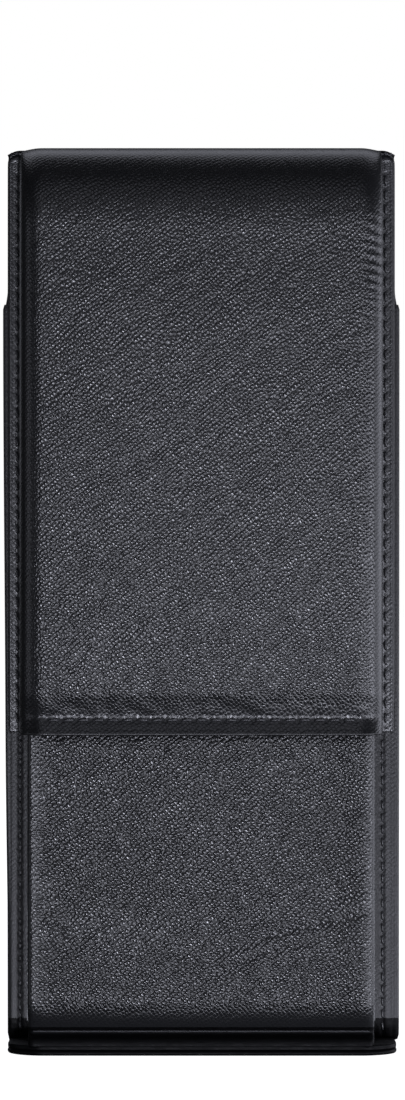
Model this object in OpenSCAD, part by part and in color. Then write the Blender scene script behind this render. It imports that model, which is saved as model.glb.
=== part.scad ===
// Slim upright leather case with a flap that folds over the top and down the front.
// Millimetres. +Z up, the front faces -Y, the origin is below the middle, in the plane of the sole.

/* [Case] */
// Width across the side flanges
case_w = 70.4; // [70:0.2:76]
// Width of the back
back_w = 69.8; // [69:0.2:70]
// Height from the sole to the top fold
case_h = 161; // [150:1:175]
// Depth of the pocket between its linings
pocket_depth = 11.7; // [10:0.1:14]
// Width of the moulded pocket between the flanges
pocket_w = 61.2; // [58:0.2:62]
// Height of the pocket's mouth above the sole
mouth_z = 134; // [125:1:140]
// Radius of the pocket's upright front edges
pocket_edge_r = 2.5; // [2:0.1:3]
// Radius of the pocket's lower front edge
toe_r = 5.5; // [4:0.1:6]
// Radius of the sole's two front corners
sole_corner_r = 9; // [6:0.5:10]

/* [Flap] */
// Width across the flap's margins
flap_w = 68.4; // [67:0.2:70]
// Height of the flap's lower edge above the sole
flap_end_z = 57; // [50:1:80]
// Radius of the shoulder where the flap turns down to the front
shoulder_r = 13; // [10:0.5:14]
// Radius of the flap's upright front edges
flap_edge_r = 4; // [3:0.1:5]
// Height of the flat stitched margin along the flap's lower edge
hem_h = 3.5; // [3:0.1:5]
// Height of the slope from that margin up to the padded middle
hem_slope_h = 3; // [2:0.1:5]

/* [Layers] */
// Thickness of the outer leather
leather_t = 0.9; // [0.8:0.05:1]
// Thickness of the lining
lining_t = 0.4; // [0.3:0.05:0.5]
// Thickness of the back and base boards
board_t = 1.2; // [1:0.1:1.5]
// Thickness of the pocket front's board
front_board_t = 0.8; // [0.7:0.1:1]
// Thickness of the flap's foam pad
pad_t = 1.4; // [1.3:0.1:1.6]
// Thickness of the flap's board
flap_board_t = 0.6; // [0.4:0.1:0.8]
// Room between the flap's lining and the case
clearance = 0.4; // [0.3:0.05:0.6]

/* [Stitches] */
// Distance between the stitches of the case's side seams
seam_pitch = 2.2; // [2:0.1:3]
// Distance between the stitches of the flap
flap_pitch = 2.6; // [2.2:0.1:3.5]
// Thickness of the thread
thread_t = 0.4; // [0.3:0.05:0.5]

/* [Closure] */
// Distance between the two hidden magnets
magnet_gap = 32; // [24:1:40]
// Radius of a magnet disc
magnet_r = 4.5; // [3:0.5:5]
// Thickness of a magnet disc
magnet_t = 1; // [0.8:0.1:1.1]
// Height of the magnets above the sole
magnet_z = 70; // [69:1:90]

/* [Hidden] */
$fn = 64;

black_leather = [0.10, 0.10, 0.11];
black_lining = [0.16, 0.16, 0.17];
black_thread = [0.05, 0.05, 0.05];
grey_board = [0.62, 0.58, 0.50];
grey_foam = [0.45, 0.45, 0.47];
steel = [0.72, 0.73, 0.75];

// Layers of the front, from the flap's outer face inwards
step = pad_t + flap_board_t;
flap_stack = leather_t + step + lining_t;
front_stack = leather_t + front_board_t + lining_t;
back_stack = leather_t + board_t + lining_t;
depth = flap_stack + clearance + front_stack + pocket_depth + back_stack;
back_y = depth / 2;
flap_y = -back_y;
pocket_y = flap_y + flap_stack + clearance;
board_y = back_y - leather_t;
lining_y = back_y - back_stack;
// Case widths
half_pocket = pocket_w / 2;
half_inner = half_pocket - leather_t;
half_room = half_inner - lining_t;
half_case = case_w / 2;
half_back = back_w / 2;
half_flap = flap_w / 2;
// The flap's walls stand this far out
wall_gap = 0.3;
half_flap_room = half_pocket + wall_gap;
half_flap_inner = half_flap_room + lining_t;
half_flap_box = half_flap_inner + leather_t;
// Faces of the flap's side margins
margin_y = lining_y - clearance;
margin_front_y = margin_y - lining_t - leather_t;
// Heights
sole_top = 2 * leather_t;
turned_under_z = sole_top + leather_t;
floor_z = turned_under_z + board_t + lining_t;
top_gap = 0.3;
back_top = case_h - leather_t - lining_t - top_gap;
hem_top = flap_end_z + hem_h;
pad_low = hem_top + hem_slope_h;
binding_h = 5;
binding_t = 0.3;
edge_inset = 0.4;
divider_t = 0.8;
divider_top = mouth_z - 7;
divider_x = (2 * half_room + divider_t) / 6;
hole_gap = 0.1;
keeper_r = magnet_r + 0.5;
keeper_t = front_board_t - 0.2;
// Seam lines
seam_x = half_pocket + 1.9;
flap_seam_x = half_flap_box + 0.8;
hem_seam_z = flap_end_z + 2.3;
stitch_share = 0.72;
past = 1;

// A solid with the outline drawn in plan, from z0 to z1.
module upright(z0, z1) {
    translate([0, 0, z0]) linear_extrude(z1 - z0) children();
}

// A solid with the outline drawn as the side view (Y across, Z up), w wide and centred on X.
module across(w) {
    rotate([90, 0, 90]) translate([0, 0, -w / 2]) linear_extrude(w) children();
}

// Plan outline of a box with its two front corners rounded.
module plan_box(half_w, front, rear, r) {
    translate([-half_w, front + r]) square([2 * half_w, rear - front - r]);
    translate([-half_w + r, front]) square([2 * (half_w - r), rear - front]);
    for (side = [-1, 1]) translate([side * (half_w - r), front + r]) circle(r);
}

// Side outline of the pocket: upright front, rounded toe, flat bottom.
module side_pocket(front, rear, low, high, r) {
    translate([front, low + r]) square([rear - front, high - low - r]);
    translate([front + r, low]) square([rear - front - r, 2 * r]);
    translate([front + r, low + r]) circle(r);
}

// Side outline of the flap: round shoulder, upright front, slope down to the hem.
module side_flap(front, rear, high, r, low, drop) {
    polygon([
        [rear, low], [front + drop, low], [front + drop, hem_top], [front, pad_low],
        [front, high - r], [front + r, high], [rear, high]
    ]);
    translate([front + r, high - r]) circle(r);
}

// The pocket's moulded form, shrunk by t at the sides and by t_front at the front.
module pocket_form(t, t_front, rear, low, high) {
    r = pocket_edge_r - t;
    intersection() {
        upright(low, high) plan_box(half_pocket - t, pocket_y + t_front, rear, r);
        across(case_w) side_pocket(
            pocket_y + t_front, rear + past, sole_top + t, high, toe_r - t
        );
    }
}

// The flap's moulded form, shrunk by t at the sides and top and by t_front at the front.
module flap_form(t, t_front, rear, low, drop) {
    r = flap_edge_r - t;
    intersection() {
        upright(low, case_h - t) plan_box(half_flap_box - t, flap_y + t_front, rear, r);
        across(case_w) side_flap(
            flap_y + t_front, rear + past, case_h - t, shoulder_r - t_front, low, drop
        );
    }
}

// One stitch lying on a face, centred, with its length along Z.
module stitch(pitch) {
    h = pitch * stitch_share;
    translate([0, 0, -h / 2]) rotate([0, 0, 22.5]) cylinder(h = h, d = thread_t, $fn = 8);
}

// A row of stitches up the face at y, between z0 and z1.
module stitch_column(x, y, z0, z1, pitch) {
    count = floor((z1 - z0) / pitch);
    for (i = [0:count]) translate([x, y - thread_t / 2, z0 + i * pitch]) stitch(pitch);
}

// A row of stitches along X on the face at y.
module stitch_row(half_w, y, z, pitch) {
    count = floor(half_w / pitch);
    for (i = [-count:count])
        translate([i * pitch, y - thread_t / 2, z]) rotate([0, 90, 0]) stitch(pitch);
}

// Discs flat against the front, one on each side of the middle, from y to y + t.
module disc_pair(r, y, t) {
    for (side = [-1, 1])
        translate([side * magnet_gap / 2, y, magnet_z]) rotate([-90, 0, 0]) cylinder(h = t, r = r);
}

// Outline of a layer of the back: half_low wide beside the pocket, half_high wide above its mouth.
module back_outline(half_low, half_high, low, high) {
    translate([-half_low, low]) square([2 * half_low, mouth_z - low]);
    translate([-half_high, mouth_z]) square([2 * half_high, high - mouth_z]);
}

// A flat sheet standing in the XZ plane, with its front face at y.
module sheet(y, t) {
    translate([0, y + t, 0]) rotate([90, 0, 0]) linear_extrude(t) children();
}

module back_panel() {
    color(black_leather)
    sheet(board_y, leather_t) back_outline(half_back, half_back, sole_top, back_top);
}

module back_board() {
    color(grey_board)
    sheet(lining_y + lining_t, board_t)
        back_outline(half_inner, half_back - 1, turned_under_z, back_top - edge_inset);
}

module back_lining() {
    color(black_lining)
    sheet(lining_y, lining_t) back_outline(half_room, half_back - edge_inset, floor_z, back_top);
}

module front_panel() {
    color(black_leather) {
        difference() {
            pocket_form(0, 0, board_y, sole_top, mouth_z - leather_t);
            pocket_form(leather_t, leather_t, board_y + past, turned_under_z, mouth_z);
        }
        for (side = [-1, 1])
            translate([side < 0 ? -half_case : half_inner, board_y - leather_t, sole_top])
                cube([half_case - half_inner, leather_t, mouth_z - sole_top]);
    }
}

module front_board() {
    color(grey_board)
    difference() {
        translate([-half_inner + pocket_edge_r, pocket_y + leather_t, sole_top + toe_r])
            cube([
                2 * (half_inner - pocket_edge_r), front_board_t,
                mouth_z - leather_t - sole_top - toe_r
            ]);
        disc_pair(keeper_r + hole_gap, pocket_y, leather_t + front_board_t + past);
    }
}

module front_lining() {
    front = leather_t + front_board_t;
    color(black_lining)
    intersection() {
        difference() {
            pocket_form(leather_t, front, lining_y, 0, mouth_z - leather_t);
            pocket_form(leather_t + lining_t, front + lining_t, lining_y + past, -past, mouth_z);
        }
        upright(floor_z, mouth_z) square(2 * case_w, center = true);
    }
}

module mouth_binding() {
    inner = front_stack + binding_t;
    color(black_leather)
    difference() {
        union() {
            pocket_form(0, 0, lining_y, mouth_z - leather_t, mouth_z);
            pocket_form(
                leather_t + lining_t, front_stack, lining_y, mouth_z - binding_h, mouth_z
            );
        }
        pocket_form(
            leather_t + lining_t + binding_t, inner, lining_y + past, -past, mouth_z + past
        );
    }
}

module mouth_thread() {
    color(black_thread)
    stitch_row(
        half_room - pocket_edge_r, pocket_y + front_stack + binding_t + thread_t,
        mouth_z - binding_h / 2, seam_pitch
    );
}

// Plan outline of the sole: straight across the back, round at the two front corners.
module sole_outline(inset) {
    intersection() {
        plan_box(half_back - inset, pocket_y + inset, back_y, sole_corner_r);
        translate([-half_case, pocket_y]) square([case_w, back_y - pocket_y]);
    }
}

module sole() {
    color(black_leather) upright(0, leather_t) sole_outline(edge_inset);
}

module sole_welt() {
    color(black_leather) upright(leather_t, sole_top) sole_outline(2 * edge_inset);
}

module base_board() {
    color(grey_board)
    intersection() {
        pocket_form(leather_t, leather_t, lining_y + lining_t, turned_under_z, mouth_z);
        upright(turned_under_z, turned_under_z + board_t) square(2 * case_w, center = true);
    }
}

module base_lining() {
    color(black_lining)
    intersection() {
        pocket_form(leather_t, leather_t, lining_y + lining_t, turned_under_z, mouth_z);
        upright(turned_under_z + board_t, floor_z) square(2 * case_w, center = true);
    }
}

// One divider between two channels, from the front lining to the back lining. Its foot follows the toe.
module divider(x) {
    front = front_stack + 2 * binding_t;
    color(black_lining)
    intersection() {
        pocket_form(leather_t + lining_t, front, lining_y, floor_z, divider_top);
        translate([x - divider_t / 2, flap_y, 0]) cube([divider_t, depth, case_h]);
    }
}

module divider_left() {
    divider(-divider_x);
}

module divider_right() {
    divider(divider_x);
}

module keeper_discs() {
    color(steel) disc_pair(keeper_r, pocket_y + leather_t, keeper_t);
}

module seam_thread_left() {
    color(black_thread)
    stitch_column(-seam_x, board_y - leather_t, sole_top + seam_pitch, mouth_z - 1, seam_pitch);
}

module seam_thread_right() {
    color(black_thread)
    stitch_column(seam_x, board_y - leather_t, sole_top + seam_pitch, mouth_z - 1, seam_pitch);
}

module flap_panel() {
    rear = margin_y - lining_t;
    color(black_leather) {
        difference() {
            flap_form(0, 0, rear, flap_end_z, step);
            flap_form(leather_t, leather_t, rear + past, flap_end_z - past, step);
        }
        for (side = [-1, 1])
            translate([side < 0 ? -half_flap : half_flap_inner, margin_front_y, flap_end_z])
                cube([half_flap - half_flap_inner, leather_t, case_h - flap_end_z]);
        translate([-half_flap, margin_front_y, case_h - leather_t])
            cube([flap_w, back_y - margin_front_y, leather_t]);
    }
}

module flap_lining() {
    front = leather_t + step;
    color(black_lining) {
        difference() {
            flap_form(leather_t, front, margin_y, flap_end_z, 0);
            flap_form(leather_t + lining_t, front + lining_t, margin_y + past, flap_end_z - past, 0);
        }
        for (side = [-1, 1])
            translate([
                side < 0 ? -half_flap : half_flap_room, margin_y - lining_t, flap_end_z
            ])
                cube([half_flap - half_flap_room, lining_t, case_h - leather_t - flap_end_z]);
        translate([-half_flap, margin_y - lining_t, case_h - leather_t - lining_t])
            cube([flap_w, back_y - margin_y + lining_t, lining_t]);
    }
}

module flap_pad() {
    half_pad = half_flap_inner - flap_edge_r;
    color(grey_foam)
    difference() {
        intersection() {
            flap_form(leather_t, leather_t, back_y, flap_end_z, step);
            translate([-half_pad, flap_y, hem_top])
                cube([2 * half_pad, leather_t + pad_t, case_h - shoulder_r - hem_top]);
        }
        disc_pair(magnet_r + hole_gap, flap_y, leather_t + step + past);
    }
}

module flap_board() {
    half_board = half_flap_inner - flap_edge_r;
    color(grey_board)
    translate([-half_board, flap_y + leather_t + pad_t, pad_low])
        cube([2 * half_board, flap_board_t, case_h - shoulder_r - pad_low]);
}

module flap_magnets() {
    color(steel) disc_pair(magnet_r, flap_y + leather_t + hole_gap, magnet_t);
}

module flap_thread_left() {
    color(black_thread)
    stitch_column(-flap_seam_x, margin_front_y, hem_seam_z, case_h - 3, flap_pitch);
}

module flap_thread_right() {
    color(black_thread)
    stitch_column(flap_seam_x, margin_front_y, hem_seam_z, case_h - 3, flap_pitch);
}

module flap_thread_hem() {
    color(black_thread)
    stitch_row(half_flap_box - flap_edge_r, flap_y + step, hem_seam_z, flap_pitch);
}

back_panel();
back_board();
back_lining();
front_panel();
front_board();
front_lining();
mouth_binding();
mouth_thread();
sole();
sole_welt();
base_board();
base_lining();
divider_left();
divider_right();
keeper_discs();
seam_thread_left();
seam_thread_right();
flap_panel();
flap_pad();
flap_board();
flap_lining();
flap_magnets();
flap_thread_left();
flap_thread_right();
flap_thread_hem();
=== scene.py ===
import math

import bmesh
import bpy
import numpy as np
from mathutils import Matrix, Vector


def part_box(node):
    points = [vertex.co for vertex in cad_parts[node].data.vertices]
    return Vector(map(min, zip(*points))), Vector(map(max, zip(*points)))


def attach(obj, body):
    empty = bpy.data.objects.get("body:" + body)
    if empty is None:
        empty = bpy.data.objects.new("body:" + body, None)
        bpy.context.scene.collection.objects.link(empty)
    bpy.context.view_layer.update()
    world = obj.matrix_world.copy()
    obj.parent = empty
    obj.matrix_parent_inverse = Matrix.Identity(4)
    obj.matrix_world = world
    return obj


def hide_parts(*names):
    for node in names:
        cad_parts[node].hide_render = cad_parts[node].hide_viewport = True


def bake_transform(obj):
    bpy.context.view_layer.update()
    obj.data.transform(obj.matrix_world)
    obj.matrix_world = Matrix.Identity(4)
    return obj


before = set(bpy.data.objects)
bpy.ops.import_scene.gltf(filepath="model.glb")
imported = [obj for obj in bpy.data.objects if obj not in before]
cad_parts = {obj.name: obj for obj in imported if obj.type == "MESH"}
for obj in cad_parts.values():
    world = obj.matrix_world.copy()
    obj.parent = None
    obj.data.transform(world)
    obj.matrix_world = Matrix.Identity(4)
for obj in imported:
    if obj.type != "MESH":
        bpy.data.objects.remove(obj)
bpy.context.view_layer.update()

# ---------------------------------------------------------------- sizes, in millimetres
MM = 0.001


def node_box(name):
    """Lowest and highest corner of a CAD node, in millimetres."""
    low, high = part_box(name)
    return np.array(low) / MM, np.array(high) / MM


FLAP_LOW, FLAP_HIGH = node_box("flap_panel")
FRONT_LOW, FRONT_HIGH = node_box("front_panel")
BACK_LOW, BACK_HIGH = node_box("back_panel")
SOLE_LOW, SOLE_HIGH = node_box("sole")
WELT_LOW, WELT_HIGH = node_box("sole_welt")
PAD_HIGH = node_box("flap_pad")[1]
FLAP_BOARD_HIGH = node_box("flap_board")[1]
BACK_BOARD_HIGH = node_box("back_board")[1]
BACK_LINING_LOW, BACK_LINING_HIGH = node_box("back_lining")
FRONT_LINING_HIGH = node_box("front_lining")[1]
BINDING_HIGH = node_box("mouth_binding")[1]
SEAM_LOW, SEAM_HIGH = node_box("seam_thread_right")
FLAP_SEAM_LOW, FLAP_SEAM_HIGH = node_box("flap_thread_right")
HEM_SEAM_LOW, HEM_SEAM_HIGH = node_box("flap_thread_hem")

LEATHER = BACK_HIGH[1] - BACK_LOW[1]
LINING = BACK_LINING_HIGH[1] - BACK_LINING_LOW[1]
TOP = FLAP_HIGH[2]
BACK = BACK_HIGH[1]
MOUTH = BINDING_HIGH[2]
SEAM_X = (SEAM_LOW[0] + SEAM_HIGH[0]) / 2
FLAP_SEAM_X = (FLAP_SEAM_LOW[0] + FLAP_SEAM_HIGH[0]) / 2
HEM_SEAM_Z = (HEM_SEAM_LOW[2] + HEM_SEAM_HIGH[2]) / 2
SEAM_PITCH = 2.2
FLAP_PITCH = 2.6
SEAM_FROM = SEAM_LOW[2] + 0.8  # middle of the lowest stitch
FLAP_SEAM_FROM = FLAP_SEAM_LOW[2] + 0.94
GRID = 0.5  # distance between a leather grid's points
FINE_GRID = 0.24  # the same on a leather's flat margin
GRAIN_RISE = 38.0  # degrees by which the rows of pebbles rise to the right
PEBBLE = 0.62  # distance between pebbles


# ---------------------------------------------------------------- small maths
def smooth(t):
    """From 0 to 1 with a soft start and end, for t from 0 to 1."""
    t = np.clip(t, 0, 1)
    return t * t * (3 - 2 * t)


def hill(x, centre, width):
    """A bell curve, 1 at its centre."""
    return np.exp(-(((x - centre) / width) ** 2))


def lattice_noise(x, z, cell_x, cell_z, seed):
    """Smooth noise from -1 to 1 whose lumps are cell_x by cell_z across."""
    size = 128
    table = np.random.default_rng(seed).uniform(-1, 1, (size, size))
    a, b = x / cell_x, z / cell_z
    i, j = np.floor(a).astype(int), np.floor(b).astype(int)
    f, g = smooth(a - i), smooth(b - j)

    def corner(di, dj):
        return table[(i + di) % size, (j + dj) % size]

    low = corner(0, 0) * (1 - f) + corner(1, 0) * f
    high = corner(0, 1) * (1 - f) + corner(1, 1) * f
    return low * (1 - g) + high * g


def turned(x, z, degrees):
    """Coordinates along and across a direction that rises to the right by that angle."""
    a = math.radians(degrees)
    return x * math.cos(a) + z * math.sin(a), -x * math.sin(a) + z * math.cos(a)


def creases(x, z, degrees, length, spacing, seed):
    """Narrow valleys, 0 to 1 deep, that run along a direction."""
    along, across = turned(x, z, degrees)
    across = across + 0.8 * spacing * lattice_noise(along, across, length * 0.7, spacing * 4, seed + 1)
    narrow = 3.2
    return np.maximum(0, 1 - np.abs(lattice_noise(along, across, length, spacing, seed)) * narrow) ** 2


def stitch_holes(along, first, pitch):
    """1 where the thread dives in between two stitches, 0 at the middle of a stitch."""
    return (0.5 - 0.5 * np.cos(2 * math.pi * (along - first) / pitch)) ** 5


def path_length(points):
    """Distance along a polyline from its first point, at each point."""
    return np.concatenate([[0], np.cumsum(np.linalg.norm(np.diff(points, axis=0), axis=1))])


def resampled(points, spacing):
    """The polyline again, with points about spacing apart."""
    points = np.array(points, float)
    along = path_length(points)
    at = np.linspace(0, along[-1], max(2, int(round(along[-1] / spacing)) + 1))
    return np.stack([np.interp(at, along, points[:, k]) for k in range(points.shape[1])], axis=1)


def joined(*lines):
    """Polylines that meet end to end, as one."""
    return np.concatenate([lines[0]] + [line[1:] for line in lines[1:]])


def arc(centre, radii, start, end, count=14):
    """Points on an ellipse arc from start to end degrees."""
    a = np.radians(np.linspace(start, end, count))
    return [(centre[0] + radii[0] * math.cos(t), centre[1] + radii[1] * math.sin(t)) for t in a]


# ---------------------------------------------------------------- meshes
def grid_normals(p):
    """Unit normals of a grid of points, rows by columns."""
    n = np.cross(np.gradient(p, axis=1), np.gradient(p, axis=0))
    return n / np.maximum(np.linalg.norm(n, axis=2, keepdims=True), 1e-9)


def new_piece(name, vertices, faces, materials, face_slots=None, grain=None, hide=None):
    """A mesh in metres from points in millimetres, turned outwards. It keeps its rest position and its place
    on the flat hide for the materials."""
    mesh = bpy.data.meshes.new(name)
    mesh.from_pydata((vertices * MM).tolist(), [], faces)
    for material in materials:
        mesh.materials.append(material)
    if face_slots is not None:
        mesh.polygons.foreach_set("material_index", face_slots)
    mesh.polygons.foreach_set("use_smooth", [True] * len(mesh.polygons))
    rest = mesh.attributes.new("rest_mm", "FLOAT_VECTOR", "POINT")
    rest.data.foreach_set("vector", vertices.astype(np.float32).ravel())
    if hide is None:
        hide = np.column_stack([vertices[:, 0], vertices[:, 1] + vertices[:, 2], 0 * vertices[:, 0]])
    flat = mesh.attributes.new("hide_mm", "FLOAT_VECTOR", "POINT")
    flat.data.foreach_set("vector", hide.astype(np.float32).ravel())
    strength = mesh.attributes.new("grain", "FLOAT", "POINT")
    values = np.ones(len(vertices)) if grain is None else grain
    strength.data.foreach_set("value", values.astype(np.float32))
    mesh.update()
    edit = bmesh.new()
    edit.from_mesh(mesh)
    bmesh.ops.recalc_face_normals(edit, faces=edit.faces)
    edit.to_mesh(mesh)
    edit.free()
    piece = bpy.data.objects.new(name, mesh)
    bpy.context.scene.collection.objects.link(piece)
    return piece


def flat_place(p):
    """Where a grid of points lies on the flat hide: across and up, measured along the middle lines."""
    across, down = path_length(p[len(p) // 2]), path_length(p[:, p.shape[1] // 2])
    place = np.zeros(p.shape)
    place[:, :, 0] = (across[-1] / 2 - across)[None]
    place[:, :, 1] = -down[:, None]
    return place


def thick_sheet(name, outer, thickness, materials, bulge=0.45, grain=None):
    """A closed sheet. The grid outer is one face, the other lies thickness behind it, and the rim is round.
    materials are those of the face, the back and the rim. grain is the grain's strength on the face."""
    rows, columns = outer.shape[:2]
    normals = grid_normals(outer)
    thickness = np.broadcast_to(thickness, (rows, columns))
    inner = outer - normals * thickness[:, :, None]
    index = np.arange(rows * columns).reshape(rows, columns)
    ring = np.concatenate([index[0, :-1], index[:-1, -1], index[-1, :0:-1], index[:0:-1, 0]])
    flat, flat_inner = outer.reshape(-1, 3), inner.reshape(-1, 3)
    nearest = outer[np.clip(ring // columns, 1, rows - 2), np.clip(ring % columns, 1, columns - 2)]
    outwards = flat[ring] - nearest
    ring_normals = normals.reshape(-1, 3)[ring]
    outwards -= ring_normals * np.sum(outwards * ring_normals, axis=1, keepdims=True)
    outwards /= np.maximum(np.linalg.norm(outwards, axis=1, keepdims=True), 1e-9)
    middle, half = (flat[ring] + flat_inner[ring]) / 2, (flat[ring] - flat_inner[ring]) / 2
    reach = outwards * np.minimum(thickness.ravel()[ring, None], LEATHER) * bulge
    turns = np.radians([30, 60, 90, 120, 150])
    rims = [middle + half * math.cos(a) + reach * math.sin(a) for a in turns]
    count, around = rows * columns, len(ring)
    vertices = np.concatenate([flat, flat_inner, *rims])
    quads = np.stack([index[:-1, :-1], index[1:, :-1], index[1:, 1:], index[:-1, 1:]], axis=-1)
    quads = quads.reshape(-1, 4)
    faces = [quads, quads[:, ::-1] + count]
    loops = [2 * count + k * around + np.arange(around) for k in range(len(rims))]
    loops = [ring] + loops + [ring + count]
    for first, second in zip(loops[:-1], loops[1:]):
        faces.append(np.stack([first, np.roll(first, -1), np.roll(second, -1), second], axis=-1))
    slots = [0] * len(quads) + [1] * len(quads) + [2] * ((len(rims) + 1) * around)
    strength = np.full(len(vertices), 0.3)
    strength[:count] = 1.0 if grain is None else grain.ravel()
    place = flat_place(outer).reshape(-1, 3)
    hide = np.concatenate([place, place] + [place[ring]] * len(rims))
    return new_piece(name, vertices, np.concatenate(faces).tolist(), materials, slots, strength, hide)


def looped_faces(start, sides, loops):
    """Faces between loops of points, sides to a loop, and the two faces that close the ends."""
    walls, ring = [], np.arange(sides)
    for k in range(loops - 1):
        a = start + k * sides + ring
        b = start + k * sides + np.roll(ring, -1)
        walls += np.stack([a, b, b + sides, a + sides], axis=1).tolist()
    return walls, [(start + ring).tolist(), (start + (loops - 1) * sides + ring).tolist()]


def tubes(name, lines, radius, material, sides=8):
    """One mesh of closed round tubes, one along each line of points, with rounded ends."""
    vertices, faces = [], []
    for line in lines:
        start, count = len(vertices) * sides, len(line)
        direction = np.gradient(line, axis=0)
        direction /= np.linalg.norm(direction, axis=1, keepdims=True)
        side = np.cross(direction, np.array([0.31, 0.22, 0.92]))
        side /= np.linalg.norm(side, axis=1, keepdims=True)
        up = np.cross(side, direction)
        size = radius * np.sqrt(np.clip(1 - np.abs(np.linspace(-1, 1, count)) ** 6, 0.02, 1))
        around = 2 * math.pi * np.arange(sides) / sides
        for k in range(count):
            ring = np.outer(np.cos(around), side[k]) + np.outer(np.sin(around), up[k])
            vertices.append(line[k] + size[k] * ring)
        walls, ends = looped_faces(start, sides, count)
        faces += walls + ends
    return new_piece(name, np.concatenate(vertices), faces, [material])


def stitches(name, path, normals, along, middles, pitch, material, radius=0.25, share=0.8):
    """A row of thread stitches on a surface. path, normals and along are its points, their normals and a
    coordinate that grows; middles are where the stitches' middles lie. Each one arches up and dives in at
    both ends."""
    order = np.argsort(along)
    path, normals, along = path[order], normals[order], along[order]
    lines, loose = [], np.random.default_rng(7)
    t = np.linspace(-1, 1, 9)
    for middle in middles:
        at = middle + t * pitch * share / 2
        points = np.stack([np.interp(at, along, path[:, k]) for k in range(3)], axis=1)
        up = np.stack([np.interp(at, along, normals[:, k]) for k in range(3)], axis=1)
        up /= np.linalg.norm(up, axis=1, keepdims=True)
        sideways = np.cross(up, np.gradient(points, axis=0))
        sideways /= np.maximum(np.linalg.norm(sideways, axis=1, keepdims=True), 1e-9)
        arch = radius * (0.75 - 2.2 * np.abs(t) ** 4)
        slant = t * radius * (0.3 + 0.25 * loose.uniform(-1, 1))
        lines.append(points + up * arch[:, None] + sideways * slant[:, None])
    return tubes(name, lines, radius, material)


def outline_slab(name, outline, z_low, z_high, edge, materials):
    """A flat piece with the outline in plan and a rounded rim. materials are the faces' and the rim's."""
    outline = np.array(outline)
    tangent = np.roll(outline, -1, axis=0) - np.roll(outline, 1, axis=0)
    outwards = np.stack([tangent[:, 1], -tangent[:, 0]], axis=1)
    outwards /= np.maximum(np.linalg.norm(outwards, axis=1, keepdims=True), 1e-9)
    if np.sum(outwards * (outline - outline.mean(axis=0))) < 0:
        outwards = -outwards
    count, rings = len(outline), []
    for a in np.radians(np.linspace(-90, 0, 5)):
        rings.append((edge * (1 - math.cos(a)), z_low + edge * (1 + math.sin(a))))
    for a in np.radians(np.linspace(0, 90, 5)):
        rings.append((edge * (1 - math.cos(a)), z_high - edge * (1 - math.sin(a))))
    vertices = np.concatenate(
        [np.column_stack([outline - outwards * inset, np.full(count, z)]) for inset, z in rings]
    )
    walls, ends = looped_faces(0, count, len(rings))
    return new_piece(name, vertices, walls + ends, materials, [1] * len(walls) + [0, 0])


def discs(name, centres, radius, y_low, y_high, material):
    """Flat discs facing the front, with turned edges."""
    vertices, faces, sides = [], [], 40
    around = 2 * math.pi * np.arange(sides) / sides
    edge = (y_high - y_low) * 0.25
    profile = [(radius * 0.9, y_low), (radius - edge, y_low), (radius, y_low + edge)]
    profile += [(radius, y_high - edge), (radius - edge, y_high), (radius * 0.9, y_high)]
    for x, z in centres:
        start = len(vertices) * sides
        for r, y in profile:
            ring = [x + r * np.cos(around), np.full(sides, y), z + r * np.sin(around)]
            vertices.append(np.column_stack(ring))
        walls, ends = looped_faces(start, sides, len(profile))
        faces += walls + ends
    return new_piece(name, np.concatenate(vertices), faces, [material])


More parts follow.
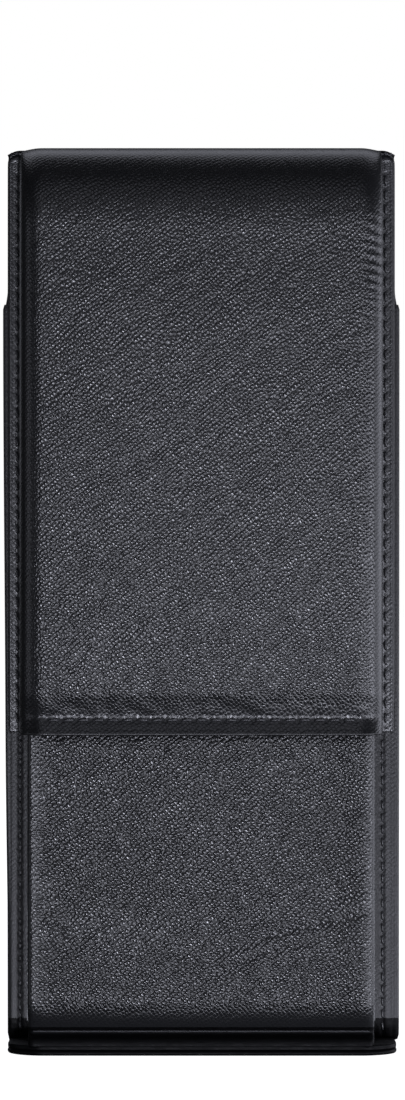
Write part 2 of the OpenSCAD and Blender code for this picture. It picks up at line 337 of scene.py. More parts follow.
# ---------------------------------------------------------------- materials
class Graph:
    """A new material with short calls for building its nodes."""

    def __init__(self, name):
        self.material = bpy.data.materials.new(name)
        self.material.use_nodes = True
        self.tree = self.material.node_tree
        self.tree.nodes.clear()
        out = self.tree.nodes.new("ShaderNodeOutputMaterial")
        self.shader = self.tree.nodes.new("ShaderNodeBsdfPrincipled")
        self.tree.links.new(self.shader.outputs[0], out.inputs[0])

    def feed(self, value, socket):
        if isinstance(value, (int, float, tuple)):
            socket.default_value = value
        else:
            self.tree.links.new(value, socket)

    def attribute(self, name, output):
        node = self.tree.nodes.new("ShaderNodeAttribute")
        node.attribute_name = name
        return node.outputs[output]

    def turned(self, vector, scale=(1, 1, 1), degrees=0.0):
        """Coordinates whose X runs along the direction turned by that angle in XY; each is then scaled."""
        node = self.tree.nodes.new("ShaderNodeMapping")
        node.vector_type = "TEXTURE"
        self.feed(vector, node.inputs["Vector"])
        node.inputs["Rotation"].default_value = (0, 0, math.radians(degrees))
        node.inputs["Scale"].default_value = tuple(1 / s for s in scale)
        return node.outputs[0]

    def noise(self, vector, scale, detail=2.0, rough=0.5, output="Fac"):
        node = self.tree.nodes.new("ShaderNodeTexNoise")
        self.feed(vector, node.inputs["Vector"])
        node.inputs["Scale"].default_value = scale
        node.inputs["Detail"].default_value = detail
        node.inputs["Roughness"].default_value = rough
        return node.outputs[output]

    def cells(self, vector, scale, feature):
        node = self.tree.nodes.new("ShaderNodeTexVoronoi")
        node.voronoi_dimensions = "2D"
        node.feature = feature
        self.feed(vector, node.inputs["Vector"])
        node.inputs["Scale"].default_value = scale
        node.inputs["Randomness"].default_value = 0.62
        return node.outputs["Distance"]

    def math(self, operation, a, b=0.0):
        node = self.tree.nodes.new("ShaderNodeMath")
        node.operation = operation
        self.feed(a, node.inputs[0])
        self.feed(b, node.inputs[1])
        return node.outputs[0]

    def total(self, *terms):
        """The sum of value and weight pairs."""
        result = 0.0
        for value, weight in terms:
            result = self.math("ADD", result, self.math("MULTIPLY", value, weight))
        return result

    def vector_math(self, operation, a, b):
        node = self.tree.nodes.new("ShaderNodeVectorMath")
        node.operation = operation
        self.feed(a, node.inputs[0])
        self.feed(b, node.inputs["Scale"] if operation == "SCALE" else node.inputs[1])
        return node.outputs[0]

    def ranged(self, value, low, high, to_low=0.0, to_high=1.0):
        node = self.tree.nodes.new("ShaderNodeMapRange")
        node.interpolation_type = "SMOOTHSTEP"
        for socket, x in zip(node.inputs, (value, low, high, to_low, to_high)):
            self.feed(x, socket)
        return node.outputs[0]

    def mixed(self, share, a, b):
        node = self.tree.nodes.new("ShaderNodeMix")
        node.data_type = "RGBA"
        self.feed(share, node.inputs[0])
        self.feed(a, node.inputs[6])
        self.feed(b, node.inputs[7])
        return node.outputs[2]

    def colour(self, value):
        self.feed(value, self.shader.inputs["Base Color"])

    def rough(self, value):
        self.feed(value, self.shader.inputs["Roughness"])

    def bump(self, height, distance_mm):
        node = self.tree.nodes.new("ShaderNodeBump")
        self.feed(height, node.inputs["Height"])
        node.inputs["Distance"].default_value = distance_mm * MM
        self.feed(node.outputs[0], self.shader.inputs["Normal"])

    def sheen(self, weight, rough):
        self.shader.inputs["Sheen Weight"].default_value = weight
        self.shader.inputs["Sheen Roughness"].default_value = rough


def rgb(r, g, b):
    return (r, g, b, 1.0)


def dimmed(base, share):
    return rgb(*[c * share for c in base])


def pebbled_leather(name, top, valley_shade, cell, depth, roughness, flow=GRAIN_RISE, gloss=0.5):
    """Leather with rows of domed shiny pebbles that rise to the right by flow degrees, and matt valleys.
    cell is the distance between pebbles. roughness has the value on the domes and that in the valleys.
    Its colour is painted shade: darker from the domes' tops down into the valleys and the creases."""
    g = Graph(name)
    rest = g.attribute("hide_mm", "Vector")
    strength = g.attribute("grain", "Fac")
    grey = (0.5, 0.5, 0.5)
    wander = g.vector_math("SUBTRACT", g.noise(rest, 0.07, 2, output="Color"), grey)
    warped = g.vector_math("ADD", rest, g.vector_math("SCALE", wander, 2.6))
    small_wander = g.vector_math("SUBTRACT", g.noise(rest, 0.9, 1, output="Color"), grey)
    warped = g.vector_math("ADD", warped, g.vector_math("SCALE", small_wander, 0.14))
    drawn = g.turned(warped, (1.0, 0.92, 1.0), flow)
    across = g.tree.nodes.new("ShaderNodeSeparateXYZ")
    g.tree.links.new(drawn, across.inputs[0])
    gaps = g.math("COSINE", g.math("MULTIPLY", across.outputs["Y"], 2 * math.pi / cell))
    edge = g.ranged(g.cells(drawn, 1 / cell, "DISTANCE_TO_EDGE"), 0.0, 0.26)
    dome = g.ranged(g.cells(drawn, 1 / cell, "F1"), 0.05, 0.7, 1.0, 0.0)
    pores = g.noise(rest, 7.0, 2, 0.6)
    long_noise = g.noise(g.turned(warped, (0.16, 0.85, 1.0), flow), 1.0, 2, 0.55)
    crease = g.ranged(g.math("ABSOLUTE", g.math("SUBTRACT", long_noise, 0.5)), 0.0, 0.07, 1.0, 0.0)
    lumps = g.noise(drawn, 1.3, 1)
    raising = (edge, 0.3), (dome, 0.6), (pores, 0.02), (lumps, 0.3)
    height = g.total(*raising, (crease, -0.3), (gaps, -0.13))
    g.bump(g.math("MULTIPLY", height, strength), depth)
    # painted shade: the colour darkens from each dome's top to its edge, and further in the creases
    domed = g.math("MULTIPLY", edge, g.ranged(dome, 0.0, 1.0, 0.35, 1.0))
    raised = g.math("MULTIPLY", domed, g.total((crease, -0.6), (1.0, 1.0)))
    flat_share = g.math("SUBTRACT", 1.0, strength)
    raised = g.math("ADD", g.math("MULTIPLY", raised, strength), g.math("MULTIPLY", flat_share, 0.72))
    g.colour(g.mixed(raised, valley_shade, top))
    patches = g.noise(rest, 0.09, 3)
    rough = g.ranged(raised, 0.0, 1.0, roughness[1], roughness[0])
    g.rough(g.total((rough, 1.0), (patches, 0.06), (pores, 0.08), (flat_share, 0.06), (-0.07, 1.0)))
    g.shader.inputs["Specular IOR Level"].default_value = gloss
    return g.material


def cut_edge(name, base, gloss):
    """The dyed and polished cut edge of the leather, with faint layers and fibres."""
    g = Graph(name)
    rest = g.attribute("rest_mm", "Vector")
    fibres = g.noise(g.turned(rest, (0.6, 5, 2.2)), 1.0, 4, 0.6)
    g.colour(g.mixed(g.ranged(fibres, 0.3, 0.7), dimmed(base, 0.6), dimmed(base, 1.0)))
    g.rough(g.ranged(fibres, 0.3, 0.7, 0.36, 0.52))
    g.bump(fibres, 0.035)
    g.shader.inputs["Specular IOR Level"].default_value = gloss
    return g.material


def napped_cloth(name, base):
    """Short napped cloth, brushed one way, with faint clouds."""
    g = Graph(name)
    rest = g.attribute("rest_mm", "Vector")
    nap = g.noise(g.turned(rest, (8, 8, 3.2)), 1.0, 3, 0.65)
    clouds = g.noise(rest, 0.12, 3)
    share = g.total((nap, 0.6), (clouds, 0.4))
    g.colour(g.mixed(g.ranged(share, 0.35, 0.65), dimmed(base, 0.55), dimmed(base, 1.3)))
    g.bump(nap, 0.07)
    g.rough(g.ranged(nap, 0.3, 0.7, 0.95, 0.8))
    g.sheen(0.3, 0.4)
    return g.material


def waxed_thread(name, base):
    """Waxed thread: the slanting lay of its strands."""
    g = Graph(name)
    rest = g.attribute("hide_mm", "Vector")
    lay = g.noise(g.turned(rest, (2.5, 9, 9), 40), 1.0, 2)
    g.colour(g.mixed(g.ranged(lay, 0.35, 0.65), dimmed(base, 0.5), dimmed(base, 1.0)))
    g.bump(lay, 0.05)
    g.rough(g.ranged(lay, 0.3, 0.7, 0.34, 0.5))
    return g.material


def fibre_board(name, base):
    """Grey case board pressed from pulp, with flecks."""
    g = Graph(name)
    node = g.tree.nodes.new("ShaderNodeTexCoord")
    place = g.vector_math("SCALE", node.outputs["Object"], 1000.0)
    pulp = g.noise(g.turned(place, (1.4, 3, 4)), 1.0, 5, 0.65)
    flecks = g.ranged(g.noise(place, 2.6, 2), 0.62, 0.7)
    tone = g.mixed(g.ranged(pulp, 0.3, 0.7), dimmed(base, 0.75), dimmed(base, 1.15))
    g.colour(g.mixed(flecks, tone, dimmed(base, 0.35)))
    g.bump(pulp, 0.06)
    g.rough(g.ranged(pulp, 0.3, 0.7, 0.92, 0.78))
    return g.material


def open_foam(name, base):
    """Open-cell foam."""
    g = Graph(name)
    rest = g.attribute("hide_mm", "Vector")
    pores = g.ranged(g.cells(rest, 2.4, "F1"), 0.15, 0.6)
    g.colour(g.mixed(pores, dimmed(base, 0.4), dimmed(base, 1.0)))
    g.bump(pores, 0.12)
    g.rough(g.ranged(pores, 0.0, 1.0, 0.95, 0.82))
    return g.material


def turned_steel(name, base):
    """Plated steel with rolling marks and faint stains."""
    g = Graph(name)
    rest = g.attribute("rest_mm", "Vector")
    marks = g.noise(g.turned(rest, (0.4, 3, 14)), 1.0, 3)
    stains = g.noise(rest, 0.5, 3)
    g.colour(g.mixed(g.ranged(stains, 0.35, 0.65), dimmed(base, 0.8), dimmed(base, 1.0)))
    g.shader.inputs["Metallic"].default_value = 1.0
    g.bump(marks, 0.01)
    g.rough(g.total((marks, 0.25), (stains, 0.15), (0.1, 1.0)))
    return g.material


# painted shade: the colour that the pebbled leathers take in their valleys and creases, darker than the
# domes' tops
VALLEY_SHADE = rgb(0.0006, 0.0006, 0.0007)
NAPPA = pebbled_leather(
    "black_nappa", rgb(0.008, 0.0083, 0.0093), VALLEY_SHADE, PEBBLE, depth=0.07, roughness=(0.21, 0.42),
)
PRESSED = pebbled_leather(
    "pressed_flange", rgb(0.006, 0.006, 0.0068), VALLEY_SHADE, PEBBLE,
    depth=0.06, roughness=(0.3, 0.42), gloss=0.26,
)
FLESH = napped_cloth("leather_flesh_side", (0.02, 0.02, 0.021))
EDGE = cut_edge("dyed_edge", (0.009, 0.009, 0.0095), 0.4)
# dark, nearly unreflecting edge material: matt edge ink on the sole's rims, and painted shade on the pocket
# leather's foot under the toe
FOOT_SHADE_AND_EDGE_INK = cut_edge("matt_edge_ink_and_foot_shade", (0.0015, 0.0015, 0.0017), 0.05)
SOLE_SKIN = pebbled_leather(
    "sole_leather", rgb(0.006, 0.006, 0.0066), rgb(0.002, 0.002, 0.0022), 1.1,
    depth=0.05, roughness=(0.42, 0.6), flow=12,
)
DIVIDER_SKIN = pebbled_leather(
    "divider_leather", rgb(0.02, 0.02, 0.021), rgb(0.006, 0.006, 0.007), 0.6,
    depth=0.06, roughness=(0.5, 0.7), flow=80,
)
CLOTH = napped_cloth("black_lining_cloth", (0.03, 0.03, 0.033))
THREAD = waxed_thread("waxed_black_thread", (0.02, 0.02, 0.022))
BOARD = fibre_board("grey_case_board", (0.3, 0.28, 0.25))
FOAM = open_foam("grey_foam", (0.22, 0.22, 0.23))
STEEL = turned_steel("plated_steel", (0.62, 0.63, 0.65))
SKIN = [NAPPA, FLESH, EDGE, FOOT_SHADE_AND_EDGE_INK, PRESSED]
FOOT_SHADE_SLOT, PRESSED_SLOT = 3, 4


def finished(piece, body, nodes=()):
    """Puts a piece on its body and hides the CAD nodes that it stands for."""
    if body:
        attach(piece, body)
    if nodes:
        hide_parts(*nodes)
    return piece


# ---------------------------------------------------------------- back, fold and flap in one piece of leather
MARGIN_Y = 5.8  # face of the flap's flat side margins
MARGIN_R = 1.3  # round of the margins over the top
FOLD_R = 1.2
FOLD_ROWS = 10  # rows of points between the back's last row and the flap's first
SHOULDER_DEEP = 13.0
SHOULDER_TALL = 15.0
SLOPE_TOP = 64.5  # the padded face ends here and slopes in
SLOPE_END = 59.9  # the slope meets the flat hem here
VALLEY_Y = FLAP_LOW[1] + 2.4
HEM_Y = FLAP_LOW[1] + 1.2
HEM_LEATHER = 0.6  # the leather is pared to this at the hem
FOAM_THICK = 1.3
WALL_X = 32.2
FOOT_R = 0.75  # round between the margin and the padded box's wall
CROWN_R = (4.4, 5.2)  # round between the wall and the padded face, across and deep
DEPTH = MARGIN_Y - FLAP_LOW[1]


def section_line(points_fine, points_rest):
    """A cross-section, finer at the margin: X, and the share of the depth."""
    rest = resampled([points_fine[-1]] + points_rest, GRID)
    line = joined(resampled(points_fine, FINE_GRID), rest)
    return line[:, 0], line[:, 1] / line[-1, 1]


def flap_section():
    """From the right margin to the middle."""
    foot = (WALL_X + FOOT_R, FOOT_R)
    fine = [(FLAP_HIGH[0], 0), (foot[0], 0)] + arc(foot, (FOOT_R, FOOT_R), 270, 180, 6)
    wall = WALL_X - 0.15
    rest = [(wall, DEPTH * 0.5)]
    rest += arc((wall - CROWN_R[0], DEPTH - CROWN_R[1]), CROWN_R, 0, 90, 18)
    return section_line(fine, rest + [(0, DEPTH)])


def mirrored(half_x, half_share):
    """A section that runs to the middle, with its mirror image added."""
    return np.concatenate([half_x, -half_x[-2::-1]]), np.concatenate([half_share, half_share[-2::-1]])


def case_half_width(x, z):
    """Half the width of the back: slightly narrower above the pocket, and drawn in at the lower left."""
    half = BACK_HIGH[0] - 0.5 * smooth((z - MOUTH + 2) / 4)
    return half - 0.5 * smooth((MOUTH - z) / MOUTH) * (x < 0)


def margin_depth(z):
    """Y of the flap's side margins at a height."""
    t = np.clip((z - (TOP - MARGIN_R)) / MARGIN_R, 0, 1)
    return MARGIN_Y + MARGIN_R - MARGIN_R * np.sqrt(1 - t * t)


def flap_lean(z):
    """How far the padded face lies behind the foremost line: bulged above, thinner towards the hem."""
    return 1.15 * np.clip((125 - z) / 60, 0, 1) ** 2 - 0.45 * smooth((146 - z) / 16)


def shell_side_path():
    """Side view of the middle, from the foot of the back over the top to the flap's edge, as Y and Z."""
    front = FLAP_LOW[1]
    up = resampled([(BACK, BACK_LOW[2]), (BACK, TOP - FOLD_R)], 0.9)
    over = arc((BACK - FOLD_R, TOP - FOLD_R), (FOLD_R, FOLD_R), 0, 90, 10)
    over += arc((front + SHOULDER_DEEP, TOP - SHOULDER_TALL), (SHOULDER_DEEP, SHOULDER_TALL), 90, 180, 40)
    for z in np.linspace(TOP - SHOULDER_TALL, SLOPE_TOP, 40)[1:]:
        over.append((front + flap_lean(z), z))
    for t in np.linspace(0, 1, 16)[1:]:
        z = SLOPE_TOP + (SLOPE_END - SLOPE_TOP) * t
        tucked = 2 * t * t if t < 0.25 else 0.125 + (t - 0.25) * 0.875 / 0.75
        face = front + flap_lean(z)
        over.append((face + (VALLEY_Y - face) * tucked, z))
    for t in np.linspace(0, 1, 12)[1:]:
        flare = VALLEY_Y + (HEM_Y - VALLEY_Y) * (0.75 * t + 0.25 * t * t)
        over.append((flare, SLOPE_END + (FLAP_LOW[2] - SLOPE_END) * t))
    return joined(up, resampled(over, GRID)), len(up)


def shell_grid():
    """The leather's outer face before its relief: a grid of points, and which rows belong to the back."""
    side, back_rows = shell_side_path()
    y, z = side[:, 0], side[:, 1]
    x, share = mirrored(*flap_section())
    row = np.arange(len(side))
    along = path_length(side) - path_length(side)[back_rows]
    plateau = FLAP_LOW[1] + SHOULDER_DEEP
    on_top = (row >= back_rows) & (y > plateau) & (z > TOP - 3)
    top_end = along[on_top][-1]
    formed = smooth((along - 3) / (top_end - 3))[:, None]
    even = np.linspace(1, -1, len(x))[None]
    before_flap = row[:, None] < back_rows + FOLD_ROWS
    flat_half = np.where(before_flap, case_half_width(even, z[:, None]), FLAP_HIGH[0])
    margin = np.where(y > margin_depth(TOP), y, margin_depth(z))
    p = np.zeros((len(side), len(x), 3))
    p[:, :, 0] = x[None] * formed + even * flat_half * (1 - formed)
    p[:, :, 1] = margin[:, None] + share[None] * (y - margin)[:, None]
    p[:, :, 2] = z[:, None]
    lowered = smooth((z[:, None] - (TOP - 12)) / 12) * smooth((np.abs(p[:, :, 0]) - 28.5) / 4.5)
    p[:, :, 2] -= 0.5 * lowered * ~before_flap
    corner = np.clip((np.abs(p[:, :, 0]) - 32.4) / 1.9, 0, 1) ** 2 * smooth((z[:, None] - (TOP - 5)) / 5)
    p[:, :, 2] -= 0.6 * corner
    return p, back_rows


def shell_relief(p, back_rows):
    """How far the leather's face stands out from the plain form, and how strong its grain is."""
    x, y, z = p[:, :, 0], p[:, :, 1], p[:, :, 2]
    flap = (np.arange(len(p)) > back_rows + FOLD_ROWS)[:, None] & (np.abs(x) < 40)
    on_box = flap & (y < MARGIN_Y - 0.4)
    face = smooth((31.4 - np.abs(x)) / 4) * smooth((TOP - z) / 14) * smooth((z - SLOPE_END) / 4) * on_box
    # the pad's crown, uneven filling and creases that flow up to the right
    crown = np.clip(1 - (x / 30) ** 2, 0, 1) * np.clip(1 - ((z - 104) / 44) ** 2, 0, 1)
    move = (0.3 * crown - 0.3) * face
    move += 0.17 * lattice_noise(x, z, 19, 26, 3) * face
    uneven = 0.5 + 0.5 * lattice_noise(x, z, 17, 23, 5)
    flow = 0.5 * creases(x, z, 40, 9, 1.9, 11) + 0.5 * creases(x, z, 34, 14, 2.9, 21)
    move -= (0.07 + 0.13 * uneven) * flow * face
    # gathers over the hem, and puckers where the leather turns over the upper right edge
    gathers = hill(z, 61.6, 2.0) * smooth((31.6 - np.abs(x)) / 3) * on_box
    lumps = lattice_noise(x, z, 2.4, 1.5, 31) + 0.6 * lattice_noise(x, z, 1.3, 1.0, 33)
    move += (0.07 * lumps + 0.1 * lattice_noise(x, z, 7, 3, 35)) * gathers
    pucker = np.sin(2 * math.pi * (z + 0.25 * (x - 27) + 0.5 * lattice_noise(x, z, 5, 4, 43)) / 1.75)
    move += 0.12 * pucker * hill(x, 30.4, 2.2) * hill(z, 140, 8) * smooth((-3 - y) / 3.5) * on_box
    # grooves and holes of the flap's stitch rows, and lines creased in beside its edges
    margin = flap & ~on_box & (z < TOP - 2)
    seam = hill(np.abs(x), FLAP_SEAM_X, 0.4) * margin
    holes = stitch_holes(z, FLAP_SEAM_FROM, FLAP_PITCH)
    move -= (0.09 + 0.09 * holes) * seam
    hem = hill(z, HEM_SEAM_Z, 0.5) * (np.abs(x) < 28.5) * on_box
    move -= (0.05 + 0.16 * stitch_holes(x, 0, FLAP_PITCH)) * hem
    move -= 0.09 * hill(np.abs(x), FLAP_HIGH[0] - 0.55, 0.17) * margin
    move -= 0.06 * hill(z, FLAP_LOW[2] + 0.6, 0.25) * on_box
    # the back, with its own seam rows
    rear = ~flap
    rear_seam = hill(np.abs(x), SEAM_X, 0.45) * smooth((MOUTH - z) / 1.5) * rear
    inner = smooth((SEAM_X - 1.2 - np.abs(x)) / 3) * rear * smooth((TOP - 3 - z) / 6)
    move += (0.06 * lattice_noise(x, z, 21, 27, 203) - 0.012 * creases(x, z, 40, 11, 2.6, 211)) * inner
    move -= (0.08 + 0.14 * stitch_holes(z, SEAM_FROM, SEAM_PITCH)) * rear_seam
    grain = np.where(rear, 0.75, 0.4 + 0.75 * face)
    grain = np.where(margin, 0.22, grain)
    fold = smooth((z - (TOP - 3.2)) / 2.6)
    grain = grain * (1 - fold) + 0.1 * fold
    grain = np.where(on_box & (z < SLOPE_TOP + 1), np.maximum(grain, 0.45), grain)
    return move, grain


def build_shell():
    """Back, fold and flap as one leather. Also gives its plain grid and its face for the layers behind it."""
    base, back_rows = shell_grid()
    move, grain = shell_relief(base, back_rows)
    skin = base + grid_normals(base) * move[:, :, None]
    on_flap = (np.arange(len(base)) > back_rows + FOLD_ROWS)[:, None]
    at_hem = smooth((SLOPE_TOP - base[:, :, 2]) / 4) * on_flap
    thickness = LEATHER + (HEM_LEATHER - LEATHER) * at_hem
    leather = thick_sheet("outer_leather", skin, thickness, SKIN, grain=grain)
    finished(leather, None, ("back_panel", "flap_panel"))
    return base, skin, back_rows, leather


def build_turned_edges():
    """The back's leather, turned round the side edges of its board above the pocket."""
    z = np.linspace(TOP - 2.2, MOUTH + 0.2, 50)
    edge_x = BACK_BOARD_HIGH[0] + 0.46
    for side, word in ((-1, "left"), (1, "right")):
        y = np.linspace(BACK - LEATHER + 0.1, BACK_LINING_HIGH[1] + 0.05, 5)[::side]
        p = np.zeros((len(z), len(y), 3))
        p[:, :, 0] = side * (edge_x + 0.03 * lattice_noise(np.zeros(len(z)), z, 3, 2, 301)[:, None])
        p[:, :, 1], p[:, :, 2] = y[None], z[:, None]
        strip = thick_sheet("turned_edge_" + word, p, 0.4, SKIN, bulge=0.3, grain=np.full(p.shape[:2], 0.3))
        finished(strip, "case", ())


BEHIND_BOARD = FLAP_BOARD_HIGH[1] + 0.08  # the flap's lining stays behind this Y over its board


def flap_layers(base, skin, back_rows):
    """The flap's foam pad and its lining, set behind the leather."""
    x, z = base[:, :, 0], base[:, :, 2]
    middle = base.shape[1] // 2
    rows = np.where((z[:, middle] > SLOPE_TOP - 0.3) & (z[:, middle] < PAD_HIGH[2]))[0]
    rows = rows[rows > back_rows + FOLD_ROWS][::2]
    columns = np.where(np.abs(x[rows[0]]) < PAD_HIGH[0])[0][::2]
    normals = grid_normals(skin)
    part = np.ix_(rows, columns)
    under_leather = skin[part] - normals[part] * (LEATHER + 0.03)
    foam = thick_sheet("flap_foam_pad", under_leather, FOAM_THICK, [FOAM] * 3, bulge=0.5)
    finished(foam, "flap", ("flap_pad",))

    behind = LEATHER + 0.05 - 0.3 * smooth((SLOPE_TOP - z) / 4) + 2.0 * (
        smooth((29.0 - np.abs(x)) / 1.8)
        * smooth((z - SLOPE_END) / (SLOPE_TOP - SLOPE_END))
        * smooth((TOP - 9 - z) / 5)
    )
    start = back_rows + FOLD_ROWS + 2
    keep = np.ix_(np.arange(start, len(base), 2), np.arange(0, base.shape[1], 2))
    lining_face = (base - grid_normals(base) * behind[:, :, None])[keep]
    across, deep, tall = (lining_face[:, :, k] for k in range(3))
    over_board = smooth((29.0 - np.abs(across)) / 0.9) * smooth((tall - 61.5) / 1.5)
    over_board *= smooth((150.4 - tall) / 1.6) * (deep < -4)
    deep += (np.maximum(deep, BEHIND_BOARD) - deep) * over_board
    across *= 1 - 0.35 / FLAP_HIGH[0]
    tall += 0.3 * smooth((60 - tall) / 3)
    hemmed = smooth((np.abs(across) - 32.4) / 0.6) * smooth((tall - MOUTH + 1) / 2)
    hemmed *= smooth((TOP - 1.5 - tall) / 2)
    thickness = LINING - 0.06 + 0.3 * hemmed
    lining = thick_sheet("flap_lining_cloth", lining_face, thickness, [CLOTH] * 3, bulge=0.3)
    finished(lining, None, ("flap_lining",))
    return lining


# ---------------------------------------------------------------- the pocket
POCKET_X = BINDING_HIGH[0]
FLANGE_Y = BACK_LOW[1] - LEATHER
TOE_TOP = 9.4  # the front starts to curve in here, towards the sole
TOE_FOOT = 3.9
FLANGE_R = 0.6  # round between the flange and the pocket's wall
CORNER_R = (1.3, 1.5)  # round between the wall and the pocket's face, across and deep


def pocket_section():
    """From the right flange to the middle."""
    depth = FLANGE_Y - FRONT_LOW[1]
    foot = (POCKET_X + FLANGE_R, FLANGE_R)
    fine = [(FRONT_HIGH[0], 0), (foot[0], 0)] + arc(foot, (FLANGE_R, FLANGE_R), 270, 180, 6)
    rest = arc((POCKET_X - CORNER_R[0], depth - CORNER_R[1]), CORNER_R, 0, 90, 12) + [(0, depth)]
    return section_line(fine, rest)


def pocket_side_path():
    """Side view of the pocket's middle from the mouth to the sole, as Y and Z."""
    front, low = FRONT_LOW[1], FRONT_LOW[2]
    points = [(front, MOUTH - LEATHER), (front, TOE_TOP)]
    points += [(front + 0.195 * (TOE_TOP - z) ** 1.45, z) for z in np.linspace(TOE_TOP, TOE_FOOT, 18)[1:]]
    points += [(front + 1.6, 3.35), (front + 0.95, 2.8), (front + 0.8, low)]
    return resampled(points, GRID)


def pocket_grid():
    """The pocket leather's outer face before its relief."""
    side = pocket_side_path()
    x, share = mirrored(*pocket_section())
    x = np.where(x < 0, -np.interp(-x, [0, 26, 29.3, POCKET_X, 40], [0, 26, 30.0, POCKET_X, 40]), x)
    z = side[:, 1][:, None]
    p = np.zeros((len(side), len(x), 3))
    flange = np.clip((np.abs(x)[None] - POCKET_X) / (FRONT_HIGH[0] - POCKET_X), 0, 1)
    drawn_in = np.where(x[None] < 0, 0.85, 0.1) * smooth((MOUTH - z) / MOUTH)
    p[:, :, 0] = x[None] - np.sign(x)[None] * flange * drawn_in
    p[:, :, 1] = FLANGE_Y + share[None] * (side[:, 0] - FLANGE_Y)[:, None]
    p[:, :, 1] += 0.6 * np.clip((5.2 - z) / 3.4, 0, 1) ** 2 * (np.abs(x)[None] > POCKET_X)
    p[:, :, 2] = z
    return p


def pocket_relief(p):
    """How far the pocket's face stands out from the plain form, and how strong its grain is."""
    x, y, z = p[:, :, 0], p[:, :, 1], p[:, :, 2]
    on_box = y < FLANGE_Y - 0.35
    face = smooth((30.2 - np.abs(x)) / 2) * smooth((z - 4) / 5)
    move = (0.1 * np.clip(1 - (x / 30) ** 2, 0, 1) - 0.1) * face
    # soft ridges beside both corners, stronger on the right
    move += 0.34 * hill(x, 28.7, 3.4) * smooth((31 - x) / 1.5) * face
    move += 0.22 * hill(x, -29.9, 1.9) * smooth((31.2 + x) / 1.2) * smooth((z - 5) / 3)
    move += 0.09 * lattice_noise(x, z, 17, 15, 103) * face
    uneven = 0.5 + 0.5 * lattice_noise(x, z, 15, 17, 105)
    flow = 0.5 * creases(x, z, 42, 7, 1.7, 111) + 0.5 * creases(x, z, 31, 12, 2.6, 121)
    move -= (0.06 + 0.13 * uneven) * flow * face
    # two long creases at the lower right
    along, across = turned(x - 5, z - 18.5, 17)
    first = hill(across, 0.5 * np.sin(along / 5), 0.7) * smooth((along + 14) / 26) * smooth((30 - along) / 8)
    second = hill(across, -2.6 + 0.4 * np.sin(along / 4), 0.7)
    second *= smooth((along + 18) / 20) * smooth((20 - along) / 14)
    move -= (0.22 * first + 0.16 * second) * face
    # the seams, and the face drawn back where the flap presses on it
    seam = hill(np.abs(x), SEAM_X, 0.42) * ~on_box
    move -= (0.12 + 0.11 * stitch_holes(z, SEAM_FROM, SEAM_PITCH)) * seam
    move -= 0.07 * hill(np.abs(x), FRONT_HIGH[0] - 0.85, 0.2) * ~on_box
    move -= (0.3 * hill(z, FLAP_LOW[2] + 0.1, 1.1) + 0.3 * smooth((z - 10) / 40)) * face
    grain = np.where(on_box, 0.6 + 0.8 * face, 0.2) * (0.3 + 0.7 * smooth((z - 6) / 3))
    return move, grain


def build_pocket():
    """The moulded front of the pocket, with its pressed flanges in their own finish and its foot in the dark
    edge material, which paints the shade under the toe.
    """
    base = pocket_grid()
    move, grain = pocket_relief(base)
    skin = base + grid_normals(base) * move[:, :, None]
    leather = thick_sheet("front_leather", skin, LEATHER, SKIN, grain=grain)
    for face in leather.data.polygons:
        on_flange = abs(face.center.x) > POCKET_X * MM + 0.0006
        # painted shade: the foot's faces below about 5 mm take the dark edge material
        if face.center.z < (5.4 if on_flange else 5.0) * MM:
            face.material_index = FOOT_SHADE_SLOT
        elif on_flange and face.material_index == 0:
            face.material_index = PRESSED_SLOT
    finished(leather, "case", ("front_panel",))
    return skin


def build_binding():
    """The strip folded over the pocket's mouth and round its two front corners, and its stitches."""
    front, back = FRONT_LOW[1], BINDING_HIGH[1] - 0.1
    inside = FRONT_LINING_HIGH[0] - LINING
    outer_x = POCKET_X - 0.02
    r = 1.3
    plan = [(outer_x, back), (outer_x, front + r)]
    plan += arc((outer_x - r, front + r), (r, r), 0, -90, 8) + [(0, front)]
    plan = resampled(plan, 0.6)
    plan = np.concatenate([plan, plan[-2::-1] * np.array([-1, 1])])
    tangent = np.gradient(plan, axis=0)
    tangent /= np.linalg.norm(tangent, axis=1, keepdims=True)
    inwards = np.stack([tangent[:, 1], -tangent[:, 0]], axis=1)
    front_deep = 2.4
    corner_x = [POCKET_X - 4, POCKET_X - 0.5]
    deep = np.interp(np.abs(plan[:, 0]), corner_x, [front_deep, POCKET_X - inside + 0.3])
    profile = [(0.0, -1.5), (-0.04, -1.0), (0.0, -0.45), (0.12, -0.12), (0.3, 0.0), (0.7, 0.0), (0.9, -0.1)]
    profile += [(1.0, -0.5), (1.0, -2.0), (1.0, -5.0)]
    p = np.zeros((len(profile), len(plan), 3))
    for k, (share, drop) in enumerate(profile):
        moved = plan + inwards * (deep * share)[:, None]
        p[k, :, :2], p[k, :, 2] = moved, MOUTH + drop
    p = p[::-1]
    strip = thick_sheet("mouth_binding_leather", p, 0.25, SKIN, bulge=0.5, grain=np.full(p.shape[:2], 0.35))
    finished(strip, "case", ("mouth_binding",))
    x = np.arange(-12, 13) * SEAM_PITCH
    count = 60
    path = np.column_stack(
        [np.linspace(-30, 30, count), np.full(count, front + front_deep + 0.02), np.full(count, MOUTH - 2.5)]
    )
    facing = np.tile([0.0, 1.0, 0.0], (count, 1))
    row = stitches("mouth_stitches", path, facing, path[:, 0], x, SEAM_PITCH, THREAD, radius=0.17)
    finished(row, "case", ("mouth_thread",))


# ---------------------------------------------------------------- sole, linings, dividers and hidden parts
def sole_outline(low, high, radius, left_in, right_in):
    """Plan outline: straight across the back, a slightly bowed front and round front corners."""
    left, right = low[0] + left_in, high[0] - right_in
    points = [(right, high[1]), (left, high[1]), (left, low[1] + radius)]
    points += arc((left + radius, low[1] + radius), (radius, radius), 180, 262, 14)
    points += [(0, low[1])]
    points += arc((right - radius, low[1] + radius), (radius, radius), 278, 360, 14)
    return resampled(points + [(right, high[1])], 0.8)[:-1]


